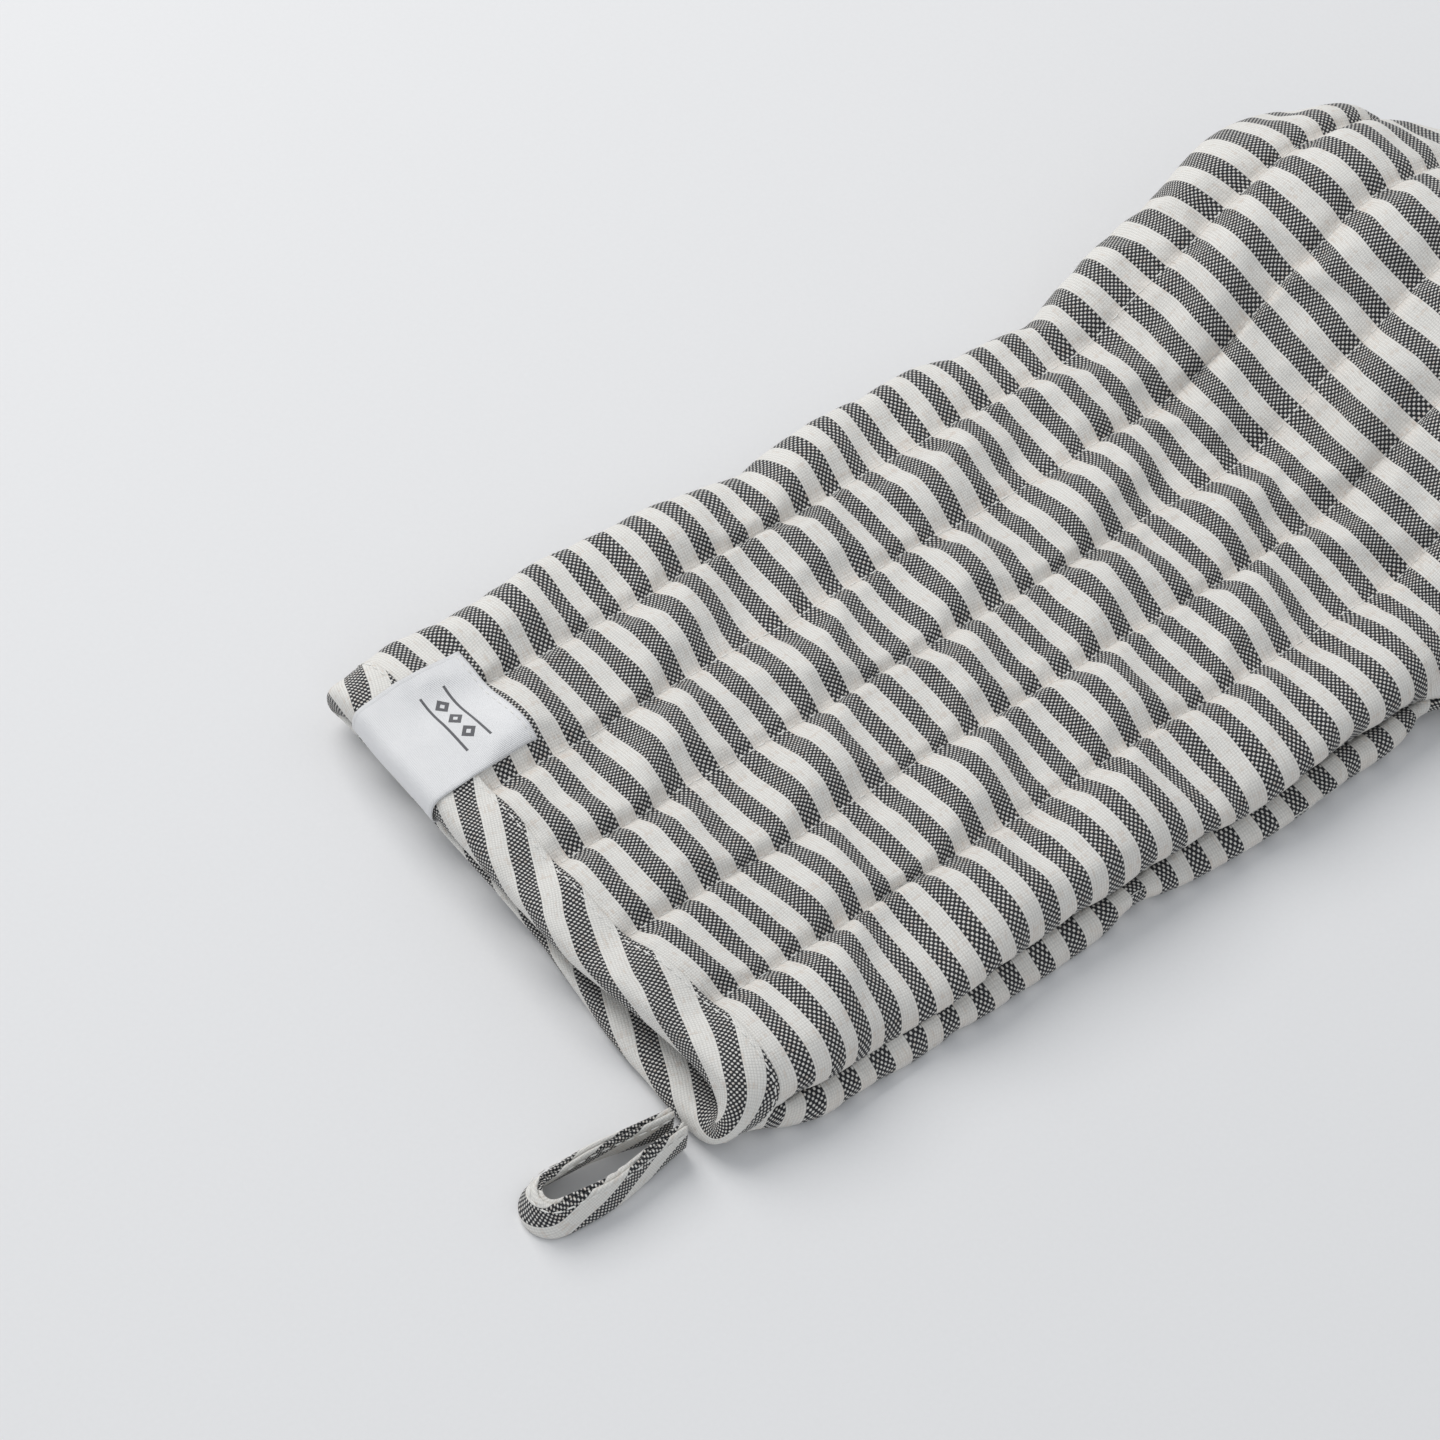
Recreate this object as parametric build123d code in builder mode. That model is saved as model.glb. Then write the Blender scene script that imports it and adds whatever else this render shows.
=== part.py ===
from build123d import *
import math
import os

os.makedirs("parts", exist_ok=True)

# Oven mitt lying palm down. Millimetres, +Z up.
# +Y runs from the cuff edge (y = 0) to the fingertips, +X is the thumb side.
# x = 0 is the middle quilting row, z = 0 is the surface the palm rests on.

# plan outline, from the cuff edge to the start of the rounded fingertips
cuff_far = 77.5
cuff_near = 79.0
wrist_y = 215.0
wrist_far = 71.5
wrist_near = 76.0
hand_y = 296.0
hand_far = 76.0
hand_near = 70.0
tip_length = 56.0

# height of the closed cuff and of the puffed-out hand
cuff_height = 21.0
hand_height = 60.0
rise_start = 238.0
rise_steps = [(0.25, 0.22), (0.5, 0.53), (0.76, 0.79), (1.0, 1.0)]

# thumb, a rounded tube leaving the hand at an angle
thumb_root = (60.6, 235.5)
thumb_angle = 42.0
thumb_width = 58.0
thumb_length = 86.0
thumb_taper = [(-30, 9.2), (0, 10.4), (20, 13.6), (40, 17.0), (56, 18.4)]
thumb_tip_start = 56.0

# cloth layers
shell_thick = 0.8
wadding_thick = 5.0
lining_thick = 0.6
panel_thick = shell_thick + wadding_thick + lining_thick

# binding round the cuff edge
binding_thick = 0.8
binding_width = 12.5
binding_inside = 11.0

# threads
thread_width = 0.6
thread_depth = 0.3
quilt_pitch = 25.7
quilt_rows = 5
binding_stitch_y = 11.2
seam_thread_size = 0.5

# label folded over the cuff edge
label_width = 32.0
label_centre_x = -45.5
label_length = 30.0
label_inside = 10.0
label_thick = 0.35
label_stitch_inset = 2.0

# hanging loop of folded tape standing on its edge
loop_root_x = 66.0
loop_gap = 0.3
loop_length = 41.0
loop_width = 16.0
tape_thick = 2.2
tape_height = 9.0
loop_lift = 0.3
neck_length = 4.5
bar_tack_thick = 0.4
bar_tack_width = 1.6

flat_trim = 0.5
reach = 260.0


def blend_between(start, end, share):
    return start + (end - start) * share


def height_at(y):
    # height of the mitt above the table, before the rounded tip
    if y <= rise_start:
        return cuff_height
    share = min((y - rise_start) / (hand_y - rise_start), 1.0)
    last = (0.0, 0.0)
    for step in rise_steps:
        if share <= step[0]:
            part = (share - last[0]) / (step[0] - last[0])
            lift = blend_between(last[1], step[1], part)
            return blend_between(cuff_height, hand_height, lift)
        last = step
    return hand_height


def cuff_stations(inset):
    # cross-sections (y, left, right, bottom, top) of the straight cuff part
    rows = []
    for y, far, near in ((0.0, cuff_far, cuff_near), (wrist_y, wrist_far, wrist_near)):
        rows.append((y, inset - far, near - inset, inset - flat_trim, cuff_height - inset))
    return rows


def hand_stations(inset):
    # cross-sections of the puffed hand part and its rounded fingertips
    rows = []
    for share in (0.0, 0.14, 0.28, 0.46, 0.64, 0.82, 1.0):
        y = blend_between(wrist_y, hand_y, share)
        far = blend_between(wrist_far, hand_far, share)
        near = blend_between(wrist_near, hand_near, share)
        rows.append((y, inset - far, near - inset, inset - flat_trim, height_at(y) - inset))
    centre_x = (hand_near - hand_far) / 2
    half_width = (hand_near + hand_far) / 2 - inset
    half_height = (hand_height + flat_trim) / 2 - inset
    centre_z = (hand_height - flat_trim) / 2
    for degrees in (12, 24, 36, 48, 60, 71, 80, 86):
        turn = math.radians(degrees)
        y = hand_y + (tip_length - inset) * math.sin(turn)
        across = half_width * math.cos(turn)
        up = half_height * math.cos(turn)
        rows.append((y, centre_x - across, centre_x + across, centre_z - up, centre_z + up))
    return rows


def slot_outline(left, right, bottom, top):
    radius = (top - bottom) / 2
    middle = (top + bottom) / 2
    Line((left + radius, bottom), (right - radius, bottom))
    ThreePointArc((right - radius, bottom), (right, middle), (right - radius, top))
    Line((right - radius, top), (left + radius, top))
    ThreePointArc((left + radius, top), (left, middle), (left + radius, bottom))


def lofted(rows):
    with BuildPart() as body:
        for y, left, right, bottom, top in rows:
            with BuildSketch(Plane(origin=(0, y, 0), x_dir=(1, 0, 0), z_dir=(0, -1, 0))):
                with BuildLine():
                    slot_outline(left, right, bottom, top)
                make_face()
        loft()
    return body.part


def hand_body(inset):
    with BuildPart() as body:
        add(lofted(cuff_stations(inset)))
        add(lofted(hand_stations(inset)))
    return body.part


def thumb_body(inset):
    turn = math.radians(thumb_angle)
    ahead = (math.cos(turn), math.sin(turn))
    half_width = thumb_width / 2 - inset
    rows = []
    for along, half_height in thumb_taper:
        rows.append((along, half_width, half_height - inset))
    for degrees in (14, 32, 50, 66, 78, 86):
        bend = math.radians(degrees)
        along = thumb_tip_start + (thumb_length - thumb_tip_start - inset) * math.sin(bend)
        full = thumb_taper[-1][1] - inset
        rows.append((along, half_width * math.cos(bend), full * math.cos(bend)))
    with BuildPart() as body:
        for along, half, up in rows:
            x = thumb_root[0] + ahead[0] * along
            y = thumb_root[1] + ahead[1] * along
            centre_z = height_at(y) / 2
            cut = Plane(origin=(x, y, centre_z), x_dir=(ahead[1], -ahead[0], 0),
                        z_dir=(-ahead[0], -ahead[1], 0))
            with BuildSketch(cut):
                with BuildLine():
                    slot_outline(-half, half, -up, up)
                make_face()
        loft()
    return body.part


def mitt_body(inset):
    # whole outer form, inset by a distance, flat underneath
    with BuildPart() as body:
        add(hand_body(inset))
        add(thumb_body(inset))
        with BuildSketch(Plane.XY.offset(inset)):
            Rectangle(4 * reach, 4 * reach)
        extrude(amount=-reach, mode=Mode.SUBTRACT)
    return body.part


def y_slab(start, end):
    with BuildPart() as slab:
        with BuildSketch(Plane.XZ.offset(-start)):
            Rectangle(2 * reach, 2 * reach)
        extrude(amount=start - end)
    return slab.part


def seam_side(direction, gap):
    # everything above (1) or below (-1) the side seam
    with BuildPart() as side:
        with BuildSketch(Plane.YZ.offset(-reach)):
            with BuildLine():
                points = [(-10.0, cuff_height / 2 + gap), (rise_start * 0.9, cuff_height / 2 + gap)]
                for share in (0.25, 0.5, 0.75, 1.0):
                    y = blend_between(rise_start, hand_y, share)
                    points.append((y, height_at(y) / 2 + gap))
                points.append((hand_y + 2 * tip_length, hand_height / 2 + gap))
                edge = Polyline(*points)
                far_z = direction * reach
                Polyline(edge @ 1, (points[-1][0], far_z), (points[0][0], far_z), edge @ 0)
            make_face()
        extrude(amount=2 * reach)
    return side.part


skin = mitt_body(0)
under_thread = mitt_body(thread_depth)
under_shell = mitt_body(shell_thick)
under_binding = mitt_body(binding_thick)
under_tucked_thread = mitt_body(binding_thick + thread_depth)
under_tucked_shell = mitt_body(binding_thick + shell_thick)
under_wadding = mitt_body(shell_thick + wadding_thick)
hollow = mitt_body(panel_thick)
bound_hollow = mitt_body(panel_thick + binding_thick)
back_side = seam_side(1, 0)
palm_side = seam_side(-1, 0)
past_edge = y_slab(binding_thick, 2 * reach)
binding_end = binding_width + shell_thick

# outer cloth of both panels, stepped inward where the binding covers it
with BuildPart() as shell_form:
    add(skin)
    add(under_shell, mode=Mode.SUBTRACT)
    add(y_slab(-1, binding_width), mode=Mode.SUBTRACT)
    with BuildPart(mode=Mode.PRIVATE) as step:
        add(skin)
        add(y_slab(binding_width, binding_end), mode=Mode.INTERSECT)
        add(under_tucked_shell, mode=Mode.SUBTRACT)
    add(step.part)
    with BuildPart(mode=Mode.PRIVATE) as tucked:
        add(under_binding)
        add(y_slab(binding_thick, binding_end), mode=Mode.INTERSECT)
        add(under_tucked_shell, mode=Mode.SUBTRACT)
    add(tucked.part)

# binding strip wrapped over the cuff edge
with BuildPart() as binding_form:
    add(skin)
    add(y_slab(-1, binding_width), mode=Mode.INTERSECT)
    with BuildPart(mode=Mode.PRIVATE) as covered:
        add(under_binding)
        add(past_edge, mode=Mode.INTERSECT)
    add(covered.part, mode=Mode.SUBTRACT)
    with BuildPart(mode=Mode.PRIVATE) as inner_leg:
        add(hollow)
        add(y_slab(-1, binding_inside), mode=Mode.INTERSECT)
    add(inner_leg.part)
    add(bound_hollow, mode=Mode.SUBTRACT)

with BuildPart() as wadding_form:
    add(under_shell)
    add(past_edge, mode=Mode.INTERSECT)
    add(under_wadding, mode=Mode.SUBTRACT)
    add(shell_form.part, mode=Mode.SUBTRACT)
    add(binding_form.part, mode=Mode.SUBTRACT)

with BuildPart() as lining_form:
    add(under_wadding)
    add(past_edge, mode=Mode.INTERSECT)
    add(hollow, mode=Mode.SUBTRACT)

# quilting rows, joined by the backstitch hidden under the binding
with BuildPart() as quilting_form:
    add(skin)
    add(under_thread, mode=Mode.SUBTRACT)
    add(y_slab(-1, binding_width), mode=Mode.SUBTRACT)
    with BuildPart(mode=Mode.PRIVATE) as dip:
        add(skin)
        add(y_slab(binding_width, binding_width + thread_depth), mode=Mode.INTERSECT)
        add(under_tucked_thread, mode=Mode.SUBTRACT)
    add(dip.part)
    with BuildPart(mode=Mode.PRIVATE) as hidden_run:
        add(under_binding)
        add(y_slab(binding_width / 2, binding_width + thread_depth), mode=Mode.INTERSECT)
        add(under_tucked_thread, mode=Mode.SUBTRACT)
    add(hidden_run.part)
    with BuildPart(mode=Mode.PRIVATE) as comb:
        with BuildSketch(Plane.XY.offset(-reach)):
            for row in range(quilt_rows):
                with Locations(((row - (quilt_rows - 1) / 2) * quilt_pitch, reach)):
                    Rectangle(thread_width, 2 * (reach - binding_width / 2))
            with Locations((0, binding_width / 2 + thread_width / 2)):
                Rectangle((quilt_rows - 1) * quilt_pitch, thread_width)
        extrude(amount=2 * reach)
    add(comb.part, mode=Mode.INTERSECT)

with BuildPart() as seam_thread:
    add(under_thread)
    add(under_shell, mode=Mode.SUBTRACT)
    add(seam_side(1, -seam_thread_size / 2), mode=Mode.INTERSECT)
    add(seam_side(-1, seam_thread_size / 2), mode=Mode.INTERSECT)
    add(y_slab(binding_end, 2 * reach), mode=Mode.INTERSECT)
seam_thread.part.label = "seam_thread"
export_step(seam_thread.part, "parts/seam_thread.step")

with BuildPart() as back_quilting:
    add(quilting_form.part)
    add(back_side, mode=Mode.INTERSECT)
    add(seam_thread.part, mode=Mode.SUBTRACT)
back_quilting.part.label = "back_quilting"
export_step(back_quilting.part, "parts/back_quilting.step")

with BuildPart() as palm_quilting:
    add(quilting_form.part)
    add(palm_side, mode=Mode.INTERSECT)
    add(seam_thread.part, mode=Mode.SUBTRACT)
palm_quilting.part.label = "palm_quilting"
export_step(palm_quilting.part, "parts/palm_quilting.step")

with BuildPart() as back_shell:
    add(shell_form.part)
    add(back_side, mode=Mode.INTERSECT)
    add(seam_thread.part, mode=Mode.SUBTRACT)
    add(back_quilting.part, mode=Mode.SUBTRACT)
back_shell.part.label = "back_shell"
export_step(back_shell.part, "parts/back_shell.step")

with BuildPart() as palm_shell:
    add(shell_form.part)
    add(palm_side, mode=Mode.INTERSECT)
    add(seam_thread.part, mode=Mode.SUBTRACT)
    add(palm_quilting.part, mode=Mode.SUBTRACT)
palm_shell.part.label = "palm_shell"
export_step(palm_shell.part, "parts/palm_shell.step")

with BuildPart() as back_wadding:
    add(wadding_form.part)
    add(back_side, mode=Mode.INTERSECT)
back_wadding.part.label = "back_wadding"
export_step(back_wadding.part, "parts/back_wadding.step")

with BuildPart() as palm_wadding:
    add(wadding_form.part)
    add(palm_side, mode=Mode.INTERSECT)
palm_wadding.part.label = "palm_wadding"
export_step(palm_wadding.part, "parts/palm_wadding.step")

with BuildPart() as back_lining:
    add(lining_form.part)
    add(back_side, mode=Mode.INTERSECT)
back_lining.part.label = "back_lining"
export_step(back_lining.part, "parts/back_lining.step")

with BuildPart() as palm_lining:
    add(lining_form.part)
    add(palm_side, mode=Mode.INTERSECT)
palm_lining.part.label = "palm_lining"
export_step(palm_lining.part, "parts/palm_lining.step")

with BuildPart() as binding_stitch:
    add(skin)
    add(y_slab(binding_stitch_y, binding_stitch_y + thread_width), mode=Mode.INTERSECT)
    add(under_thread, mode=Mode.SUBTRACT)
binding_stitch.part.label = "binding_stitch"
export_step(binding_stitch.part, "parts/binding_stitch.step")

with BuildPart() as cuff_binding:
    add(binding_form.part)
    add(binding_stitch.part, mode=Mode.SUBTRACT)
cuff_binding.part.label = "cuff_binding"
export_step(cuff_binding.part, "parts/cuff_binding.step")

label_top = cuff_height + label_thick
label_under = cuff_height - panel_thick - binding_thick

with BuildPart() as label_stitch:
    with BuildSketch(Plane.XY.offset(label_top - label_thick / 2)):
        with Locations((label_centre_x, label_length - label_stitch_inset)):
            Rectangle(label_width - 2 * label_stitch_inset, thread_width)
    extrude(amount=label_thick)
label_stitch.part.label = "label_stitch"
export_step(label_stitch.part, "parts/label_stitch.step")

with BuildPart() as woven_label:
    with BuildSketch(Plane.YZ.offset(label_centre_x - label_width / 2)):
        with BuildLine():
            folded = Polyline(
                (label_length, cuff_height),
                (label_length, label_top),
                (-label_thick, label_top),
                (-label_thick, label_under - label_thick),
                (label_inside, label_under - label_thick),
                (label_inside, label_under),
                (0, label_under),
                (0, cuff_height),
            )
            Line(folded @ 1, folded @ 0)
        make_face()
    extrude(amount=label_width)
    add(label_stitch.part, mode=Mode.SUBTRACT)
woven_label.part.label = "woven_label"
export_step(woven_label.part, "parts/woven_label.step")

# hanging loop, its sewn end turning just clear of the cuff edge
hinge_y = -loop_gap - tape_thick
neck_y = hinge_y - neck_length
bend_y = hinge_y - loop_length + loop_width / 2

with BuildPart() as hanging_loop:
    with BuildSketch(Plane.XY.offset(loop_lift)) as plan:
        with Locations((loop_root_x, bend_y)):
            Circle(loop_width / 2)
        with Locations((loop_root_x, neck_y)):
            Circle(tape_thick)
        make_hull()
        with BuildSketch(mode=Mode.PRIVATE) as eye:
            with Locations((loop_root_x, bend_y)):
                Circle(loop_width / 2 - tape_thick)
            with Locations((loop_root_x, neck_y - tape_thick)):
                Circle(loop_gap)
            make_hull()
        add(eye.sketch, mode=Mode.SUBTRACT)
        with Locations((loop_root_x, (neck_y + hinge_y) / 2)):
            Rectangle(2 * tape_thick, neck_length)
        with Locations((loop_root_x, hinge_y)):
            Circle(tape_thick)
    extrude(amount=tape_height)
hanging_loop.part.label = "hanging_loop"
export_step(hanging_loop.part, "parts/hanging_loop.step")

with BuildPart() as loop_tack:
    with BuildSketch(Plane.XZ.offset(-hinge_y + neck_length / 2)):
        with Locations((loop_root_x, loop_lift + tape_height / 2)):
            Rectangle(2 * (tape_thick + bar_tack_thick), tape_height + 2 * bar_tack_thick)
            Rectangle(2 * tape_thick, tape_height, mode=Mode.SUBTRACT)
    extrude(amount=bar_tack_width)
loop_tack.part.label = "loop_tack"
export_step(loop_tack.part, "parts/loop_tack.step")
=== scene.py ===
import math

import bmesh
import bpy
import numpy as np
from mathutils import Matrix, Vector
from mathutils.bvhtree import BVHTree


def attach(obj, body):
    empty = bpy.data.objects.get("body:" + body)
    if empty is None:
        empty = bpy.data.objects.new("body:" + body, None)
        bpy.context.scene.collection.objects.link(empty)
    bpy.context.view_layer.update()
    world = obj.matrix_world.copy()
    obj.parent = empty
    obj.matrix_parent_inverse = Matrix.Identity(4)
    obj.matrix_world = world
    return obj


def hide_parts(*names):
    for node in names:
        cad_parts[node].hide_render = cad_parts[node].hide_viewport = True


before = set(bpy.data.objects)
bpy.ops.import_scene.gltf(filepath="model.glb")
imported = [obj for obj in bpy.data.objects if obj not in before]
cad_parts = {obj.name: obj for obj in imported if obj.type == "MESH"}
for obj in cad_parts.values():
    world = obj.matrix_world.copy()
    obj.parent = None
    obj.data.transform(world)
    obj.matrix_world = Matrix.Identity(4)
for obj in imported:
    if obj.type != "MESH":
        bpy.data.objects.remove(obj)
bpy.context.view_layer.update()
mm = 0.001

camera = {"place": (0.40447, -0.34612, 0.77659), "target": (-0.02073, 0.07982, 0.0), "roll": 8.31,
          "lens": 100.5, "sensor": 36, "nearest": 0.01}


def makeCamera():
    data = bpy.data.cameras.new("camera")
    data.lens = camera["lens"]
    data.sensor_width = camera["sensor"]
    data.clip_start = camera["nearest"]
    obj = bpy.data.objects.new("camera", data)
    bpy.context.scene.collection.objects.link(obj)
    obj.location = camera["place"]
    aim = (Vector(camera["target"]) - obj.location).to_track_quat("-Z", "Y")
    obj.rotation_euler = aim.to_euler()
    obj.rotation_euler.rotate_axis("Z", math.radians(camera["roll"]))
    bpy.context.scene.camera = obj


# flat cut of one panel and the puffed form it is sewn into, in millimetres
mitt = {
    "cuffFar": 75.0, "cuffNear": 77.0, "wristY": 215.0, "wristFar": 69.5, "wristNear": 78.0,
    "handY": 294.0, "handFar": 75.0, "handNear": 66.0, "tip": 54.0,
    "cuffHeight": 17.0, "handHeight": 59.0, "riseStart": 229.0, "riseEnd": 302.0,
    "thumbRoot": (59.0, 244.0), "thumbAngle": 42.0, "thumbHalf": 27.0, "thumbReach": 84.0,
    "cuffRound": 12.0, "handRound": 58.0, "thumbRound": 27.0, "seamShare": 0.46,
    "rowPitch": 25.7, "cellsPerRow": 10, "cellLength": 2.5, "rimInset": 2.4, "lengthTaken": 0.62,
    "seamPinch": 1.4, "pinchReach": 2.4, "sideBulge": 1.4, "palmBulge": 6.5, "bulgeReach": 24.0,
    "palmShift": 3.4, "shellThick": 0.7,
}


def smoothStep(low, high, x):
    t = np.clip((x - low) / (high - low), 0, 1)
    return t * t * (3 - 2 * t)


def planOutline():
    # the sewn edge seen from above, from the far side of the cuff round to the near side
    turn = math.radians(mitt["thumbAngle"])
    along = np.array([math.cos(turn), math.sin(turn)])
    side = np.array([-along[1], along[0]])
    root = np.array(mitt["thumbRoot"])
    half = mitt["thumbHalf"]
    knots = [(-mitt["cuffFar"], -80), (-mitt["cuffFar"], 0), (-mitt["wristFar"], mitt["wristY"]),
             (-mitt["handFar"], mitt["handY"] - 12)]
    centreX = (mitt["handNear"] - mitt["handFar"]) / 2
    halfWidth = (mitt["handNear"] + mitt["handFar"]) / 2
    for a in np.linspace(180, 0, 40):
        knots.append((centreX + halfWidth * math.cos(math.radians(a)),
                      mitt["handY"] + mitt["tip"] * math.sin(math.radians(a))))
    inner = root + half * side
    reachIn = (mitt["handNear"] - inner[0]) / along[0]
    knots.append(tuple(inner + along * (reachIn + 1)))
    centre = root + along * (mitt["thumbReach"] - half * 0.9)
    for a in np.linspace(90, -90, 24):
        b = math.radians(a)
        knots.append(tuple(centre + along * half * 0.9 * math.cos(b) + side * half * math.sin(b)))
    outer = root - half * side
    start = (mitt["wristNear"] + 0.4 - outer[0]) / along[0]
    knots.append(tuple(outer + along * start))
    knots += [(mitt["wristNear"], mitt["wristY"] - 16), (mitt["cuffNear"], 0), (mitt["cuffNear"], -80)]
    line = np.array(knots, float)
    gaps = np.linalg.norm(np.diff(line, axis=0), axis=1)
    far = np.concatenate([[0], np.cumsum(gaps)])
    steps = np.arange(0, far[-1], 1.5)
    line = np.stack([np.interp(steps, far, line[:, k]) for k in (0, 1)], 1)
    for _ in range(18):
        line[1:-1] = (line[:-2] + 2 * line[1:-1] + line[2:]) / 4
    return line


def signedDistance(points, line):
    # distance to the sewn edge, positive inside, with the inward direction
    a, b = line[:-1], line[1:]
    edge = b - a
    length2 = (edge ** 2).sum(1)
    best = np.full(len(points), 1e9)
    inward = np.zeros((len(points), 2))
    side = np.zeros(len(points))
    for lo in range(0, len(points), 4000):
        p = points[lo:lo + 4000, None, :]
        t = np.clip(((p - a) * edge).sum(2) / length2, 0, 1)
        q = a + t[..., None] * edge
        d = np.linalg.norm(p - q, axis=2)
        k = d.argmin(1)
        r = np.arange(len(k))
        best[lo:lo + 4000] = d[r, k]
        e = edge[k]
        normal = np.stack([e[:, 1], -e[:, 0]], 1) / np.sqrt(length2[k])[:, None]
        away = points[lo:lo + 4000] - q[r, k]
        sign = np.where((away * normal).sum(1) >= 0, 1.0, -1.0)
        soft = away * sign[:, None] + normal * 0.02
        inward[lo:lo + 4000] = soft / np.linalg.norm(soft, axis=1)[:, None]
        side[lo:lo + 4000] = sign
    return best * side, inward


def lengthwise():
    # how far along the mitt a length of cloth reaches once the hand part lifts
    y = np.arange(-90, 460, 0.5)
    slope = np.gradient(topHeight(0 * y, y), 0.5) * mitt["lengthTaken"]
    flat = np.concatenate([[0], np.cumsum(np.sqrt(1 + slope[:-1] ** 2) * 0.5)]) - 90
    return flat, y


def topHeight(x, y):
    # height of the back over the table at the bottom of its sewn rows
    early = 15 * smoothStep(10, -70, x)
    lift = np.clip((y + early - mitt["riseStart"]) / (mitt["riseEnd"] - mitt["riseStart"]), 0, 1)
    ease = lift * lift * (3 - 2 * lift) * 0.55 + lift * 0.45 * smoothStep(0, 0.25, lift)
    return mitt["cuffHeight"] + (mitt["handHeight"] - mitt["cuffHeight"]) * np.clip(ease, 0, 1)


def flatGrid():
    # square grid of cloth points whose columns fall on the quilting rows
    du = mitt["rowPitch"] / mitt["cellsPerRow"]
    us = np.arange(-46, 72) * du
    vs = np.arange(0, 170) * mitt["cellLength"]
    return us, vs


def panelCloth():
    us, vs = flatGrid()
    u, v = np.meshgrid(us, vs, indexing="ij")
    flat = np.stack([u.ravel(), v.ravel()], 1)
    line = planOutline()
    table = lengthwise()
    besideThumb = np.abs(line[:, 0] - mitt["handNear"]) + 0.02 * np.abs(line[:, 1] - 285)
    crotch = line[np.argmin(np.where(line[:, 1] > 250, besideThumb, 1e9))]

    def place(points):
        y = np.interp(points[:, 1], *table)
        plan = np.stack([points[:, 0], y], 1)
        d, inward = signedDistance(plan, line)
        turn = math.radians(mitt["thumbAngle"])
        fromRoot = plan - mitt["thumbRoot"]
        ahead = fromRoot[:, 0] * math.cos(turn) + fromRoot[:, 1] * math.sin(turn)
        off = -fromRoot[:, 0] * math.sin(turn) + fromRoot[:, 1] * math.cos(turn)
        thumb = smoothStep(0, 34, ahead) * smoothStep(48, 30, off)
        hand = smoothStep(205, 285, plan[:, 1])
        across = mitt["cuffRound"] + (mitt["handRound"] - mitt["cuffRound"]) * hand
        across = across + (mitt["thumbRound"] - across) * thumb
        top = topHeight(plan[:, 0], plan[:, 1])
        seam = top * mitt["seamShare"]
        seam = seam + (0.5 * top - seam) * hand
        thumbTop = seam + 18.0
        top = top + (np.minimum(top, thumbTop) - top) * thumb
        low = np.maximum(seam - 17.0, 0) * thumb
        up = top - seam
        quarter = 0.5 * math.pi * np.sqrt((across ** 2 + up ** 2) / 2)
        spare = (quarter - across) * smoothStep(4, 40, np.linalg.norm(plan - crotch, axis=1))
        spare = spare * 0.85 + 0.6
        depth = d + spare
        reach = np.clip(depth / (across + spare), 0, 1)
        angle = 0.5 * math.pi * reach
        # even out the arc length round the ellipse
        stretch = (across - up) / (across + up)
        angle = angle + 0.28 * stretch * np.sin(2 * angle)
        sunk = across * (1 - np.cos(angle))
        inside = depth > across + spare
        sunk = np.where(inside, d, sunk)
        plan = plan + inward * (sunk - d)[:, None]
        rise = np.where(inside, 1.0, np.sin(angle))
        return plan, depth, inward, rise, seam, top, low, thumb

    depth = place(flat)[1]
    rows, cols = len(us), len(vs)
    good = (depth > -0.5 * mitt["cellLength"]).reshape(rows, cols)
    index = np.arange(rows * cols).reshape(rows, cols)
    faces = []
    for i in range(rows - 1):
        for j in range(cols - 1):
            corner = [(i, j), (i + 1, j), (i + 1, j + 1), (i, j + 1)]
            held = [index[c] for c in corner if good[c]]
            if len(held) >= 3:
                faces.append(held)
    used = np.unique(np.concatenate([np.array(f) for f in faces]))
    renumber = -np.ones(rows * cols, int)
    renumber[used] = np.arange(len(used))
    faces = [[int(renumber[k]) for k in f] for f in faces]
    flat = flat[used]
    count = {}
    for f in faces:
        for a, b in zip(f, f[1:] + f[:1]):
            key = (min(a, b), max(a, b))
            count[key] = count.get(key, 0) + 1
    rim = np.zeros(len(flat), bool)
    for (a, b), n in count.items():
        if n == 1 and not (flat[a, 1] == 0 and flat[b, 1] == 0):
            rim[a] = rim[b] = True
    for _ in range(4):
        depth, inward = place(flat)[1:3]
        flat[rim] -= (inward * depth[:, None])[rim]
        flat[rim & (flat[:, 1] < 0.1), 1] = 0
    plan, depth, inward, rise, seam, top, low, thumb = place(flat)
    return {"flat": flat, "faces": faces, "rim": rim, "plan": plan, "depth": depth, "rise": rise,
            "seam": seam, "top": top, "low": low, "inward": inward, "onThumb": thumb,
            "thumbRows": thumb > 0.35, "edges": list(count)}


def makeMesh(name, points, faces, uv=None):
    mesh = bpy.data.meshes.new(name)
    mesh.from_pydata([tuple(p) for p in np.asarray(points) * mm], [], faces)
    if uv is not None:
        layer = mesh.uv_layers.new(name="cloth")
        order = np.empty(len(mesh.loops), int)
        mesh.loops.foreach_get("vertex_index", order)
        layer.data.foreach_set("uv", (np.asarray(uv)[order] * mm).ravel().astype(np.float32))
    for p in mesh.polygons:
        p.use_smooth = True
    obj = bpy.data.objects.new(name, mesh)
    bpy.context.scene.collection.objects.link(obj)
    return obj


def surfaceNormals(points, faces):
    # area-weighted vertex normals
    out = np.zeros_like(points)
    for f in faces:
        a, b, c = points[f[0]], points[f[1]], points[f[-1]]
        n = np.cross(b - a, c - a)
        for k in f:
            out[k] += n
    return out / np.maximum(np.linalg.norm(out, axis=1), 1e-9)[:, None]


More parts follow.
